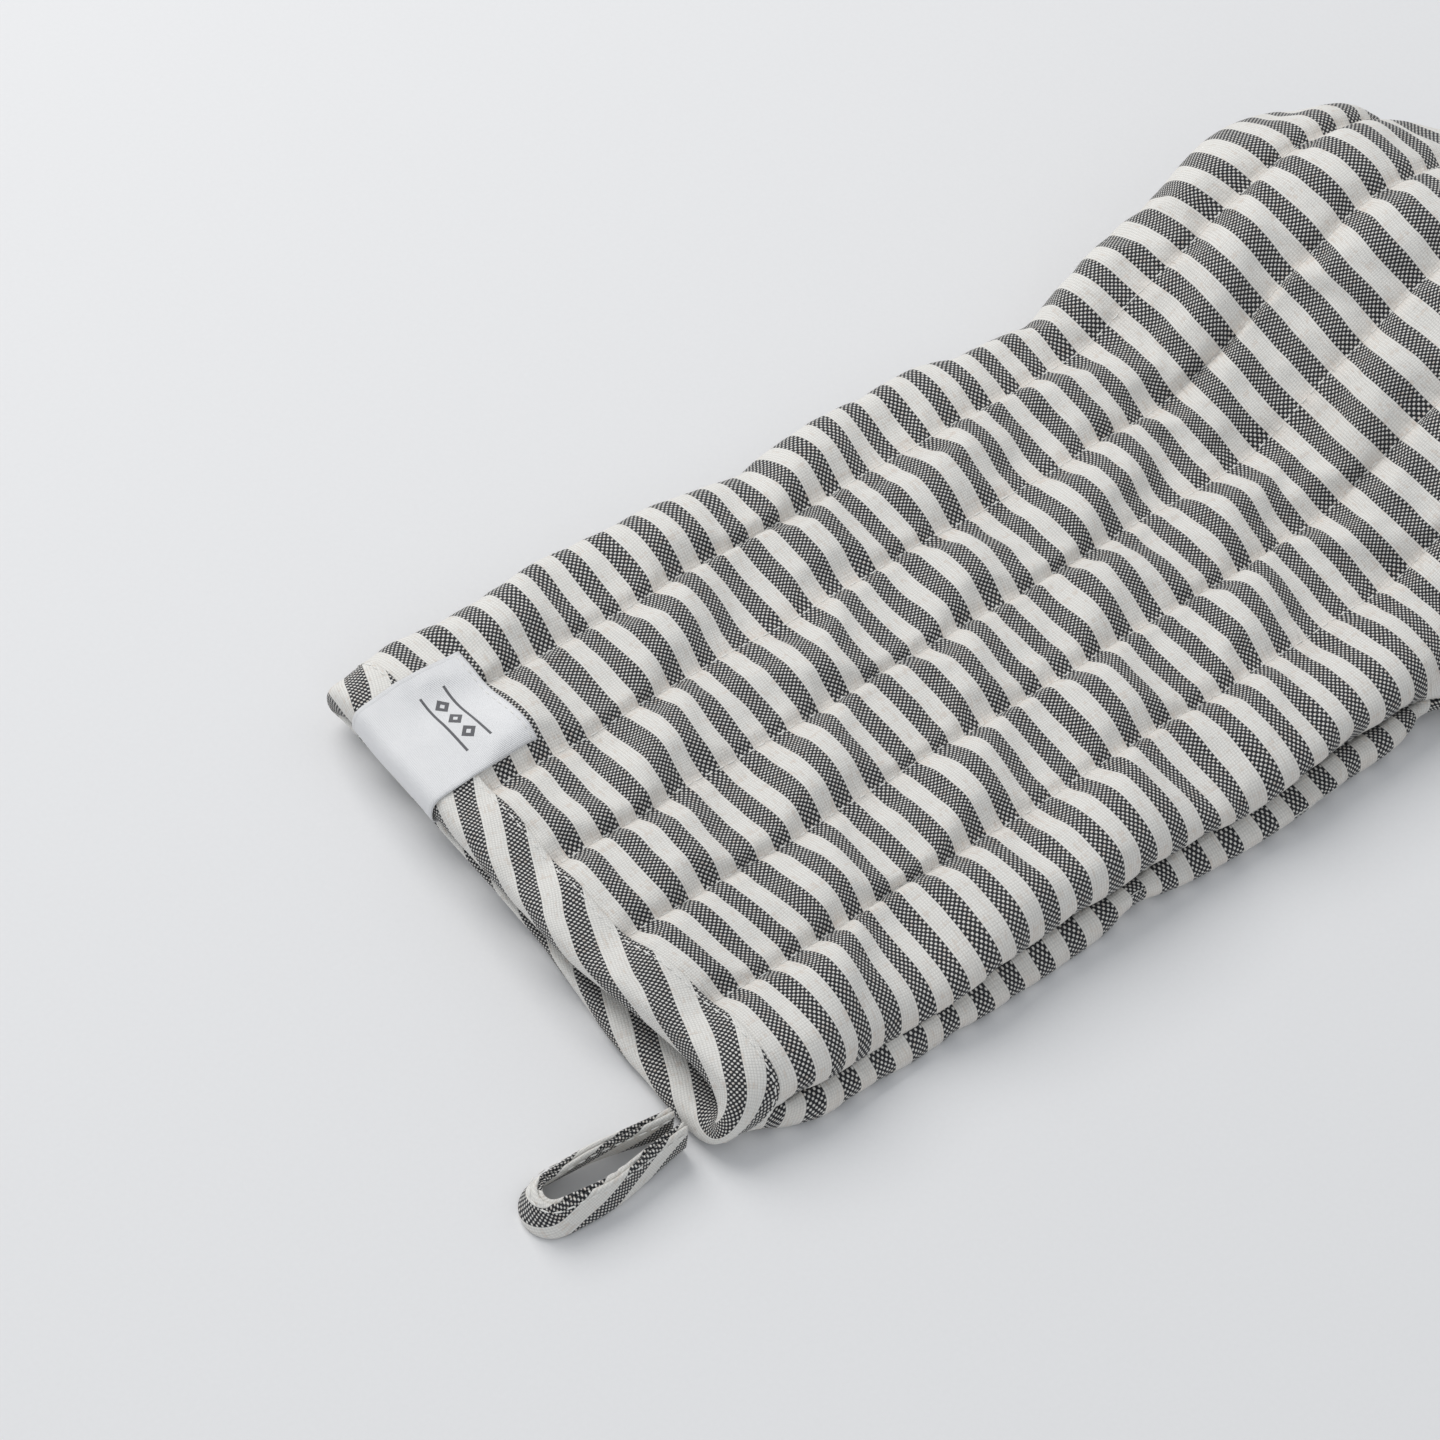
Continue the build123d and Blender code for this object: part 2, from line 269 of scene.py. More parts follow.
def rowDistance(flat, thumbRows):
    # distance to the nearest sewn row, and that row's number
    k = np.clip(np.round(flat[:, 0] / mitt["rowPitch"]), -2, 4)
    k = np.where((k > 2) & ~thumbRows, 2, k)
    return np.abs(flat[:, 0] - k * mitt["rowPitch"]), k


def cuffShape(points):
    # draws back the near corner of the top edge and the far side of the lower edge a little
    x, y, z = points.T
    fade = smoothStep(90, 0, y)
    nearCorner = 7.0 * smoothStep(14, 62, x) * smoothStep(2, 17, z)
    farSide = 5.0 * smoothStep(50, -20, x) * smoothStep(9, 3, z)
    out = points.copy()
    out[:, 1] = y + (nearCorner + farSide) * fade
    return out


# how the sewn channels are blown up by the wadding
channels = {"puff": 5.3, "start": 0.8, "pressure": 2.6, "spareCloth": 0.035, "frames": 22, "mostMove": 3.5,
            "stiffness": 12.0, "bend": 0.35, "mass": 0.12, "quality": 6, "damping": 8, "air": 3}


def puffProfile(flat, depth, thumbRows):
    toRow, _ = rowDistance(flat, thumbRows)
    toEdge = np.minimum(toRow, np.maximum(depth, 0))
    half = mitt["rowPitch"] / 2
    share = np.clip(toEdge / half, 0, 1)
    v = flat[:, 1]
    uneven = 1 + 0.13 * np.sin(v / 17.0 + flat[:, 0] * 0.21)
    uneven = uneven + 0.10 * np.sin(v / 7.3 + 1.7 + flat[:, 0] * 0.11)
    bound = 0.42 + 0.58 * smoothStep(2, 20, v)
    return channels["puff"] * (1 - (1 - share) ** 2) ** 0.5 * uneven * bound


def blowUp(obj, pinned, target):
    # cloth under pressure between its sewn rows, then capped and applied
    group = obj.vertex_groups.new(name="sewn")
    group.add([int(k) for k in np.flatnonzero(pinned)], 1.0, "REPLACE")
    cloth = obj.modifiers.new("cloth", "CLOTH")
    s = cloth.settings
    s.quality = channels["quality"]
    s.mass = channels["mass"]
    s.tension_stiffness = s.compression_stiffness = channels["stiffness"]
    s.shear_stiffness = channels["stiffness"] * 0.5
    s.bending_stiffness = channels["bend"]
    s.tension_damping = s.compression_damping = channels["damping"]
    s.air_damping = channels["air"]
    s.vertex_group_mass = "sewn"
    s.pin_stiffness = 1.0
    s.shrink_min = -channels["spareCloth"]
    s.use_pressure = True
    s.uniform_pressure_force = channels["pressure"]
    s.effector_weights.gravity = 0
    cloth.collision_settings.use_collision = False
    cloth.point_cache.frame_start = 1
    cloth.point_cache.frame_end = channels["frames"]
    scene = bpy.context.scene
    for f in range(1, channels["frames"] + 1):
        scene.frame_set(f)
    shown = obj.evaluated_get(bpy.context.evaluated_depsgraph_get()).to_mesh()
    out = np.empty(len(shown.vertices) * 3)
    shown.vertices.foreach_get("co", out)
    scene.frame_set(1)
    out = out.reshape(-1, 3) / mm
    move = out - target
    far = np.linalg.norm(move, axis=1)
    print("  cloth moved", round(float(far.max()), 2), "mean", round(float(far.mean()), 2))
    move *= np.minimum(1, channels["mostMove"] / np.maximum(far, 1e-6))[:, None]
    bpy.data.objects.remove(obj)
    return target + move


def gridFaces(rows, cols):
    return [[i * cols + j, i * cols + j + 1, (i + 1) * cols + j + 1, (i + 1) * cols + j]
            for i in range(rows - 1) for j in range(cols - 1)]


def closedLayer(name, outer, inner, faces, uv):
    # a closed slab between two matching surfaces
    n = len(outer)
    points = np.concatenate([outer, inner])
    sides = {}
    for f in faces:
        for a, b in zip(f, f[1:] + f[:1]):
            if (b, a) in sides:
                del sides[(b, a)]
            else:
                sides[(a, b)] = True
    quads = [list(f) for f in faces] + [[k + n for k in reversed(f)] for f in faces]
    quads += [[b, a, a + n, b + n] for a, b in sides]
    return makeMesh(name, points, quads, np.concatenate([uv, uv]))


def relax(points, edges, fixed, rounds, share=0.5):
    # evens out creases in the folded form
    a, b = np.array(edges).T
    for _ in range(rounds):
        total = np.zeros_like(points)
        count = np.zeros(len(points))
        np.add.at(total, a, points[b])
        np.add.at(total, b, points[a])
        np.add.at(count, a, 1)
        np.add.at(count, b, 1)
        mean = total / count[:, None]
        points = np.where(fixed[:, None], points, points + share * (mean - points))
    return points


def panelForm(cloth, back):
    # one panel folded into its rounded form, before its channels are blown up
    level = cloth["top"] if back else cloth["low"] + 2.6 * (1 - cloth["onThumb"])
    z = cloth["seam"] + (level - cloth["seam"]) * cloth["rise"]
    points = np.column_stack([cloth["plan"], z])
    fixed = cloth["rim"] | (cloth["flat"][:, 1] < 0.1)
    handPart = cloth["plan"][:, 1] > 190
    return relax(points, cloth["edges"], fixed | ~handPart, 14)


def makePanel(cloth, back):
    name = "back" if back else "palm"
    faces = cloth["faces"] if back else [f[::-1] for f in cloth["faces"]]
    base = panelForm(cloth, back)
    base[:, 1] += mitt["rimInset"] * smoothStep(14, 0, base[:, 1])
    bulge = mitt["sideBulge"]
    if not back:
        bulge = mitt["palmBulge"] * smoothStep(20, 50, base[:, 0]) + bulge
    bulge = bulge * smoothStep(8, 30, base[:, 1]) * smoothStep(238, 205, base[:, 1])
    spread = np.sin(np.pi * np.clip(cloth["depth"] / mitt["bulgeReach"], 0, 1)) ** 0.8
    base[:, :2] -= cloth["inward"] * (bulge * spread)[:, None]
    pinch = mitt["seamPinch"] * np.exp(-(cloth["depth"] / mitt["pinchReach"]) ** 2)
    pinch = pinch * smoothStep(10, 34, base[:, 1])
    base[:, :2] += cloth["inward"] * pinch[:, None]
    normal = surfaceNormals(base, faces)
    flat = cloth["flat"]
    toRow, row = rowDistance(flat, cloth["thumbRows"])
    onRow = (toRow < 0.01) & (flat[:, 1] > 1)
    pinned = onRow | cloth["rim"] | (flat[:, 1] < 6)
    puff = puffProfile(flat, cloth["depth"], cloth["thumbRows"])
    if not back:
        puff = puff * (1 - 0.35 * smoothStep(0.7, -0.9, normal[:, 2]) * (normal[:, 2] < -0.5))
    start = base + normal * (puff * channels["start"])[:, None]
    full = base + normal * puff[:, None]
    wave = 0.45 * np.sin(flat[:, 1] / 11.0 + 2.0 * row) + 0.3 * np.sin(flat[:, 1] / 4.7 + row)
    blown = full
    blown = blowUp(makeMesh(name + "_trial", start, faces), pinned, full)
    blown = relax(blown, cloth["edges"], pinned, 1, 0.3)
    blown = np.where(onRow[:, None], blown + np.array([1.0, 0, 0]) * (wave * 0.7)[:, None], blown)
    if not back:
        # the palm flattens softly against the table
        z = blown[:, 2]
        blown[:, 2] = np.where(z < 0.9, 0.12 + 0.78 * np.exp((np.minimum(z, 0.9) - 0.9) / 0.78), z)
    lift = ((blown - base) * normal).sum(1)
    blown = cuffShape(blown)
    skin = makeMesh(name + "_skin", blown, faces, flat)
    edgeMark = skin.data.attributes.new("crease_edge", "FLOAT", "EDGE")
    place = skin.data.attributes.new("cloth_place", "FLOAT_VECTOR", "POINT")
    place.data.foreach_set("vector", np.column_stack([flat, cloth["depth"]]).ravel().astype(np.float32))
    crease = np.zeros(len(skin.data.edges), np.float32)
    for e in skin.data.edges:
        a, b = e.vertices
        if (onRow[a] and onRow[b]) or (cloth["rim"][a] and cloth["rim"][b]):
            crease[e.index] = 0.75
    edgeMark.data.foreach_set("value", crease)
    sub = skin.modifiers.new("finer", "SUBSURF")
    sub.levels = sub.render_levels = 1
    fine = bpy.data.meshes.new_from_object(skin.evaluated_get(bpy.context.evaluated_depsgraph_get()))
    bpy.data.objects.remove(skin)
    outer = np.empty(len(fine.vertices) * 3)
    fine.vertices.foreach_get("co", outer)
    outer = outer.reshape(-1, 3) / mm
    uv = np.empty(len(fine.vertices) * 3)
    fine.attributes["cloth_place"].data.foreach_get("vector", uv)
    uv = uv.reshape(-1, 3)
    fineFaces = [list(p.vertices) for p in fine.polygons]
    fineNormal = surfaceNormals(outer, fineFaces)
    shell = closedLayer(name + "_shell_cloth", outer, outer - mitt["shellThick"] * fineNormal, fineFaces,
                        uv[:, :2] + (0, 0 if back else mitt["palmShift"]))
    # wadding fills what is left between the shell and the lining
    liner = cuffShape(base - 3.2 * normal)
    under = cuffShape(base - 2.6 * normal)
    coarse = surfaceNormals(blown, faces)
    padding = closedLayer(name + "_padding", blown - 1.0 * coarse, under, faces, flat)
    lining = closedLayer(name + "_lining_cloth", under - 0.03 * normal, liner, faces, flat)
    for piece, node in ((shell, "_shell"), (padding, "_wadding"), (lining, "_lining")):
        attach(piece, "mitt")
        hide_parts(name + node)
    rows = {}
    for k in range(-2, 5):
        sewn = np.abs(uv[:, 0] - k * mitt["rowPitch"]) < 0.02
        on = np.flatnonzero(sewn & (uv[:, 2] > 1.5) & (uv[:, 1] > 14))
        if k > 2:
            on = on[uv[on, 1] > 245]
        on = on[np.argsort(uv[on, 1])]
        if len(on) > 6:
            rows[k] = outer[on] + 0.1 * fineNormal[on]
    return {"shell": shell, "padding": padding, "lining": lining, "rows": rows, "base": base,
            "blown": blown, "lift": lift}


binding = {"width": 12.0, "inside": 10.5, "thick": 0.8, "puffOut": 0.75, "step": 2.2, "edge": 3.5,
           "deep": 4.6, "deepFar": 6.7, "turnedUnder": 0.35, "lowest": 0.1, "lowestInside": 0.5}


def cuffRim(cloth, back, palm):
    # the cuff's outline, once round, from the far side over the back and under the palm
    rings = []
    first = cloth["flat"][:, 1] < 0.1
    order = np.flatnonzero(first)[np.argsort(cloth["flat"][first, 0])]
    for panel in (back, palm):
        columns = []
        for k in order:
            u = cloth["flat"][k, 0]
            near = (np.abs(cloth["flat"][:, 0] - u) < 1.3) & (cloth["flat"][:, 1] < 14)
            near = np.flatnonzero(near)
            v = cloth["flat"][near, 1]
            lift = panel["lift"][near]
            heights = [float(np.interp(y, v[np.argsort(v)], lift[np.argsort(v)])) for y in (0, 5, 10, 14)]
            columns.append((panel["base"][k, 0], panel["base"][k, 2], *heights))
        rings.append(np.array(columns))
    loop = np.concatenate([rings[0], rings[1][::-1][1:-1]])
    closed = np.concatenate([loop, loop[:1]])
    gaps = np.linalg.norm(np.diff(closed[:, :2], axis=0), axis=1)
    far = np.concatenate([[0], np.cumsum(gaps)])
    count = int(far[-1] / binding["step"])
    steps = np.linspace(0, far[-1], count, endpoint=False)
    ring = np.stack([np.interp(steps, far, closed[:, k]) for k in range(closed.shape[1])], 1)
    for _ in range(3):
        ring = (np.roll(ring, 1, 0) + 2 * ring + np.roll(ring, -1, 0)) / 4
    along = np.roll(ring[:, :2], -1, 0) - np.roll(ring[:, :2], 1, 0)
    along /= np.linalg.norm(along, axis=1)[:, None]
    outward = np.stack([-along[:, 1], along[:, 0]], 1)
    if (outward[count // 4] * np.array([0, 1])).sum() < 0:
        outward = -outward
    return ring, outward, steps


def bindingProfile(ring, extra):
    # (y, distance out from the panel's base, length along the strip) round the cuff edge
    b = binding
    rows = []
    for y in np.linspace(b["width"], b["edge"], 7):
        lift = np.array([np.interp(y, (0, 5, 10, 14), r[2:6]) for r in ring])
        turned = b["turnedUnder"] * np.exp(-((y - b["width"]) / 1.2) ** 2)
        rows.append((np.full(len(ring), y), lift + b["puffOut"] + turned + extra))
    top = rows[-1][1]
    low = -b["deep"] - (b["deepFar"] - b["deep"]) * smoothStep(30, -25, ring[:, 0]) - extra
    middle, half = (top + low) / 2, (top - low) / 2
    for a in np.linspace(75, -75, 9):
        turn = math.radians(a)
        push = b["edge"] + 0.4 + extra
        rows.append((b["edge"] - push * math.cos(turn) ** 0.7 * np.ones(len(ring)),
                     middle + half * np.sign(a) * abs(math.sin(turn)) ** 0.85 if a else middle))
    for y in np.linspace(b["edge"], b["inside"], 5):
        rows.append((np.full(len(ring), y), low))
    return rows


def sweepRing(ring, outward, profile):
    points = []
    for y, out in profile:
        across, up = (ring[:, k] + outward[:, k] * out for k in (0, 1))
        points.append(np.column_stack([across, y, up]))
    return np.array(points)


def makeBinding(cloth, back, palm):
    ring, outward, steps = cuffRim(cloth, back, palm)
    outer = sweepRing(ring, outward, bindingProfile(ring, 0.0))
    inner = sweepRing(ring, outward, bindingProfile(ring, -binding["thick"]))
    outer[:, :, 2] = np.maximum(outer[:, :, 2], binding["lowest"])
    inner[:, :, 2] = np.maximum(inner[:, :, 2], binding["lowestInside"])
    rows, count = outer.shape[:2]
    ripple = 0.16 * np.sin(steps / 3.1 + 0.8 * np.sin(steps / 9)) + 0.12 * np.sin(steps / 1.7)
    outer[:8, :, 1] += ripple * np.linspace(0.2, 1.0, 8)[:, None]
    along = np.concatenate([[0], np.cumsum(np.linalg.norm(np.diff(outer, axis=0), axis=2).mean(1))])
    uv = np.stack([np.tile(steps, (rows, 1)), np.tile(along[:, None], (1, count))], 2).reshape(-1, 2)
    faces = []
    for i in range(rows - 1):
        for j in range(count):
            k = (j + 1) % count
            faces.append([i * count + j, i * count + k, (i + 1) * count + k, (i + 1) * count + j])
    n = rows * count
    outer, inner = cuffShape(outer.reshape(-1, 3)), cuffShape(inner.reshape(-1, 3))
    quads = [f[::-1] for f in faces] + [[k + n for k in f] for f in faces]
    for j in range(count):
        k = (j + 1) % count
        quads.append([j, k, k + n, j + n])
        lo, hi = (rows - 1) * count + j, (rows - 1) * count + k
        quads.append([hi, lo, lo + n, hi + n])
    piece = makeMesh("cuff_binding_strip", np.concatenate([outer, inner]), quads, np.concatenate([uv, uv]))
    sub = piece.modifiers.new("finer", "SUBSURF")
    sub.levels = sub.render_levels = 1
    fixSeamUv(piece.data, steps[-1] + steps[1])
    applyModifiers(piece)
    pointOut(piece)
    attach(piece, "mitt")
    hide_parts("cuff_binding")
    y, out = bindingProfile(ring, 0.0)[1]
    line = cuffShape(sweepRing(ring, outward, [(y, out + 0.05)])[0])
    line[:, 2] = np.maximum(line[:, 2], thread["low"])
    print("binding", len(piece.data.vertices), "points")
    return piece, line


def fixSeamUv(mesh, whole):
    # the strip's ends meet: faces across the join carry on past its length
    layer = mesh.uv_layers["cloth"].data
    for p in mesh.polygons:
        us = [layer[k].uv[0] for k in p.loop_indices]
        if max(us) - min(us) > 0.5 * whole * mm:
            for k in p.loop_indices:
                if layer[k].uv[0] < 0.5 * whole * mm:
                    layer[k].uv[0] += whole * mm


def applyModifiers(obj):
    fine = bpy.data.meshes.new_from_object(obj.evaluated_get(bpy.context.evaluated_depsgraph_get()))
    old = obj.data
    obj.modifiers.clear()
    obj.data = fine
    bpy.data.meshes.remove(old)
    for p in obj.data.polygons:
        p.use_smooth = True


label = {"width": 32.0, "length": 29.5, "centre": -45.5, "thick": 0.35, "inside": 9.5, "above": 0.35,
         "cells": 44, "bend": 4.8, "turn": 3.0, "push": 4.4, "curl": 0.25}


def makeLabel(back, cuffStrip):
    # a satin ribbon folded over the cuff edge, lying on the back panel and its binding
    depsgraph = bpy.context.evaluated_depsgraph_get()
    trees = [BVHTree.FromObject(o, depsgraph) for o in (back["shell"], cuffStrip)]
    n = label["cells"]
    across = np.linspace(-0.5, 0.5, n) * label["width"] + label["centre"]
    along = np.linspace(label["length"], label["turn"], 36)
    top = np.zeros((len(along), n))
    for i, y in enumerate(along):
        for j, x in enumerate(across):
            hits = [t.ray_cast(Vector((x, y, 60)) * mm, Vector((0, 0, -1))) for t in trees]
            zs = [h[0].z / mm for h in hits if h[0] is not None]
            top[i, j] = max(zs) if zs else 20
    # the ribbon is taut: it bridges the dips
    for _ in range(60):
        mean = top.copy()
        mean[1:-1] = (top[:-2] + top[2:]) / 2
        mean[:, 1:-1] = (mean[:, 1:-1] * 0.4 + 0.3 * (top[:, :-2] + top[:, 2:]))
        top = np.maximum(top, mean - 0.002)
    top += label["above"]
    rows = [np.column_stack([across, np.full(n, y), top[i]]) for i, y in enumerate(along)]
    end = top[-1]
    bend = label["bend"]
    for a in np.linspace(80, -80, 11):
        t = math.radians(a)
        rows.append(np.column_stack([across, label["turn"] - label["push"] * math.cos(t) ** 0.7 * np.ones(n),
                                     end - bend + bend * np.sign(a) * abs(math.sin(t)) ** 0.8]))
    for y in np.linspace(label["turn"], label["inside"], 6):
        rows.append(np.column_stack([across, np.full(n, y), end - 2 * bend]))
    sheet = np.array(rows)
    m = len(rows)
    lengthUp = np.concatenate([[0], np.cumsum(np.linalg.norm(np.diff(sheet.mean(1), axis=0), axis=1))])
    edgeCurl = label["curl"] * (np.abs(np.linspace(-1, 1, n)) ** 6)
    sheet[:len(along), :, 2] += edgeCurl * np.linspace(0.2, 1, len(along))[:, None]
    d1 = np.gradient(sheet, axis=0)
    d2 = np.gradient(sheet, axis=1)
    normal = np.cross(d2, d1)
    normal /= np.linalg.norm(normal, axis=2)[..., None]
    if normal[4, 4, 2] < 0:
        normal = -normal
    flatPoints = sheet.reshape(-1, 3)
    under = (sheet - normal * label["thick"]).reshape(-1, 3)
    faces = gridFaces(m, n)
    a, b, c = (flatPoints[faces[0][k]] for k in (0, 1, 2))
    if np.cross(b - a, c - a)[2] < 0:
        faces = [f[::-1] for f in faces]
    uv = np.stack([np.tile(across - label["centre"], (m, 1)), np.tile(lengthUp[:, None], (1, n))], 2)
    uv = uv.reshape(-1, 2)
    piece = closedLayer("satin_label", cuffShape(flatPoints), cuffShape(under), faces, uv)
    pointOut(piece)
    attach(piece, "mitt")
    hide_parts("woven_label")
    seam = cuffShape(sheet[2] + normal[2] * 0.05)[2:-2]
    return piece, seam


loopTape = {"root": (66.0, -2.5), "width": 13.0, "height": 9.8, "lift": 0.35, "cloth": 0.5, "layers": 0.62,
            "lean": 0.34, "widest": 1.62}


def loopPath(count):
    # the tape's line seen from above: out along one strand, round the bend and back
    t = loopTape
    x0, y0 = t["root"]
    half = t["width"] / 2 - 1.1
    knots = [(-1.15, -0.6), (-1.25, -4.0), (-2.6, -10.5), (-4.9, -20.0), (-half, -30.0), (-6.3, -36.6),
             (-2.8, -39.6), (1.2, -40.2), (5.0, -37.6), (half, -31.0), (6.4, -22.0), (4.9, -11.5),
             (4.0, -4.2), (3.8, -0.6)]
    curve = bpy.data.curves.new("loop_line", "CURVE")
    curve.dimensions = "3D"
    spline = curve.splines.new("NURBS")
    spline.points.add(len(knots) - 1)
    for p, k in zip(spline.points, knots):
        p.co = ((x0 + k[0]) * mm, (y0 + k[1]) * mm, 0, 1)
    spline.order_u = 4
    spline.use_endpoint_u = True
    spline.resolution_u = 16
    obj = bpy.data.objects.new("loop_line", curve)
    bpy.context.scene.collection.objects.link(obj)
    mesh = bpy.data.meshes.new_from_object(obj.evaluated_get(bpy.context.evaluated_depsgraph_get()))
    line = np.array([v.co[:2] for v in mesh.vertices]) / mm
    bpy.data.objects.remove(obj)
    bpy.data.meshes.remove(mesh)
    far = np.concatenate([[0], np.cumsum(np.linalg.norm(np.diff(line, axis=0), axis=1))])
    steps = np.linspace(0, far[-1], count)
    return np.stack([np.interp(steps, far, line[:, k]) for k in (0, 1)], 1), steps


def tapeSection():
    # bias tape folded twice: (across the strand, up, length along the cloth)
    t = loopTape
    d, h = t["layers"], t["height"]
    half = [(0.4 * d, 1.6), (0.4 * d, h - 1.4), (0.45 * d, h - 0.7), (0.9 * d, h - 0.35), (1.4 * d, h - 0.8),
            (1.5 * d, h - 1.8), (t["widest"] * d, h * 0.5), (1.5 * d, 1.4), (1.2 * d, 0.5), (0.55 * d, 0.12)]
    line = np.array([(-across, up) for across, up in half] + half[::-1])
    far = np.concatenate([[0], np.cumsum(np.linalg.norm(np.diff(line, axis=0), axis=1))])
    steps = np.linspace(0, far[-1], 46)
    line = np.stack([np.interp(steps, far, line[:, k]) for k in (0, 1)], 1)
    turn = np.gradient(line, axis=0)
    turn /= np.linalg.norm(turn, axis=1)[:, None]
    normal = np.stack([-turn[:, 1], turn[:, 0]], 1)
    return line, normal, steps


def makeLoop():
    t = loopTape
    path, steps = loopPath(150)
    section, normal, clothSteps = tapeSection()
    tangent = np.gradient(path, axis=0)
    tangent /= np.linalg.norm(tangent, axis=1)[:, None]
    side = np.stack([tangent[:, 1], -tangent[:, 0]], 1)
    sheets = []
    for shift in (-0.5, 0.5):
        offset = section + normal * t["cloth"] * shift
        wobble = 0.25 * np.sin(steps / 8.0) + 0.12 * np.sin(steps / 3.1)
        lean = t["lean"] * np.sin(np.pi * steps / steps[-1])
        across, up = offset.T
        across = across + wobble[:, None] * (up / t["height"]) - lean[:, None] * (up - 4)
        up = np.tile(up, (len(path), 1)) + t["lift"] + 0.2 + 0.2 * np.sin(steps / 11.0)[:, None]
        x = path[:, None, 0] + side[:, None, 0] * across
        y = path[:, None, 1] + side[:, None, 1] * across
        sheets.append(np.stack([x, y, up], 2))
    n, m = len(path), len(section)
    faces = gridFaces(n, m)
    uv = np.stack([np.tile(steps[:, None], (1, m)), np.tile(clothSteps, (n, 1))], 2).reshape(-1, 2)
    piece = closedLayer("loop_tape", sheets[0].reshape(-1, 3), sheets[1].reshape(-1, 3), faces, uv)
    pointOut(piece)
    piece.data.validate()
    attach(piece, "loop")
    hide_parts("hanging_loop")
    # a row of stitches near the top edge on each face of the tape
    edges = []
    up = t["height"] - 1.75 + t["lift"] + 0.2
    for face in (1, -1):
        edge = []
        for i in range(4, n - 4):
            lean = t["lean"] * math.sin(math.pi * steps[i] / steps[-1]) * (t["height"] - 5.9)
            off = face * (t["widest"] * t["layers"] + 0.34) - lean
            edge.append((path[i, 0] + side[i, 0] * off, path[i, 1] + side[i, 1] * off, up))
        edges.append(np.array(edge))
    print("loop", len(piece.data.vertices), "points, tape", round(float(steps[-1])), "mm long")
    return piece, edges


def pointOut(piece):
    bm = bmesh.new()
    bm.from_mesh(piece.data)
    bmesh.ops.recalc_face_normals(bm, faces=bm.faces)
    bm.to_mesh(piece.data)
    bm.free()


thread = {"long": 2.3, "every": 3.1, "thick": 0.42, "low": 0.3, "seed": 7, "shortest": 0.85, "longest": 1.08}


def stitchTree():
    # stitches laid one after another along a sewn line
    tree = bpy.data.node_groups.new("sewn_stitches", "GeometryNodeTree")
    sockets = [("Geometry", "Geometry"), ("Every", "Float"), ("Long", "Float"), ("Thick", "Float"),
               ("Seed", "Int"), ("Thread", "Material")]
    for socket, kind in sockets:
        tree.interface.new_socket(socket, in_out="INPUT", socket_type="NodeSocket" + kind)
    tree.interface.new_socket("Geometry", in_out="OUTPUT", socket_type="NodeSocketGeometry")
    add = tree.nodes.new
    link = tree.links.new
    given, out = add("NodeGroupInput"), add("NodeGroupOutput")
    curve = add("GeometryNodeMeshToCurve")
    resample = add("GeometryNodeResampleCurve")
    resample.mode = "LENGTH"
    ball = add("GeometryNodeMeshUVSphere")
    ball.inputs["Segments"].default_value = 8
    ball.inputs["Rings"].default_value = 6
    ball.inputs["Radius"].default_value = 0.5
    size = add("ShaderNodeCombineXYZ")
    tangent = add("GeometryNodeInputTangent")
    align = add("FunctionNodeAlignRotationToVector")
    align.axis = "X"
    place = add("GeometryNodeInstanceOnPoints")
    vary = add("FunctionNodeRandomValue")
    vary.data_type = "FLOAT"
    vary.inputs[2].default_value = thread["shortest"]
    vary.inputs[3].default_value = thread["longest"]
    times = add("ShaderNodeMath")
    times.operation = "MULTIPLY"
    real = add("GeometryNodeRealizeInstances")
    paint = add("GeometryNodeSetMaterial")
    smooth = add("GeometryNodeSetShadeSmooth")
    link(given.outputs["Geometry"], curve.inputs["Mesh"])
    link(curve.outputs[0], resample.inputs["Curve"])
    link(given.outputs["Every"], resample.inputs["Length"])
    link(resample.outputs[0], place.inputs["Points"])
    link(ball.outputs["Mesh"], place.inputs["Instance"])
    link(tangent.outputs[0], align.inputs["Vector"])
    link(align.outputs[0], place.inputs["Rotation"])
    link(given.outputs["Seed"], vary.inputs["Seed"])
    link(given.outputs["Long"], times.inputs[0])
    link(vary.outputs[1], times.inputs[1])
    link(times.outputs[0], size.inputs[0])
    link(given.outputs["Thick"], size.inputs[1])
    link(given.outputs["Thick"], size.inputs[2])
    link(size.outputs[0], place.inputs["Scale"])
    link(place.outputs[0], real.inputs[0])
    link(real.outputs[0], smooth.inputs[0])
    link(smooth.outputs[0], paint.inputs["Geometry"])
    link(given.outputs["Thread"], paint.inputs["Material"])
    link(paint.outputs[0], out.inputs[0])
    return tree


def sew(name, lines, body, nodes, material, tree, closed=False, **sizes):
    # one object of stitches along the given lines
    points, edges = [], []
    for line in lines:
        first = len(points)
        points += [tuple(p) for p in line]
        edges += [(first + k, first + k + 1) for k in range(len(line) - 1)]
        if closed:
            edges.append((len(points) - 1, first))
    mesh = bpy.data.meshes.new(name)
    mesh.from_pydata([tuple(np.array(p) * mm) for p in points], edges, [])
    obj = bpy.data.objects.new(name, mesh)
    bpy.context.scene.collection.objects.link(obj)
    rule = obj.modifiers.new("stitches", "NODES")
    rule.node_group = tree
    sizes = {**thread, **sizes}
    values = {"Every": sizes["every"] * mm, "Long": sizes["long"] * mm, "Thick": sizes["thick"] * mm,
              "Seed": sizes["seed"], "Thread": material}
    for item in tree.interface.items_tree:
        if item.in_out == "INPUT" and item.name in values:
            rule[item.identifier] = values[item.name]
    applyModifiers(obj)
    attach(obj, body)
    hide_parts(*nodes)
    print(name, len(obj.data.polygons), "faces")


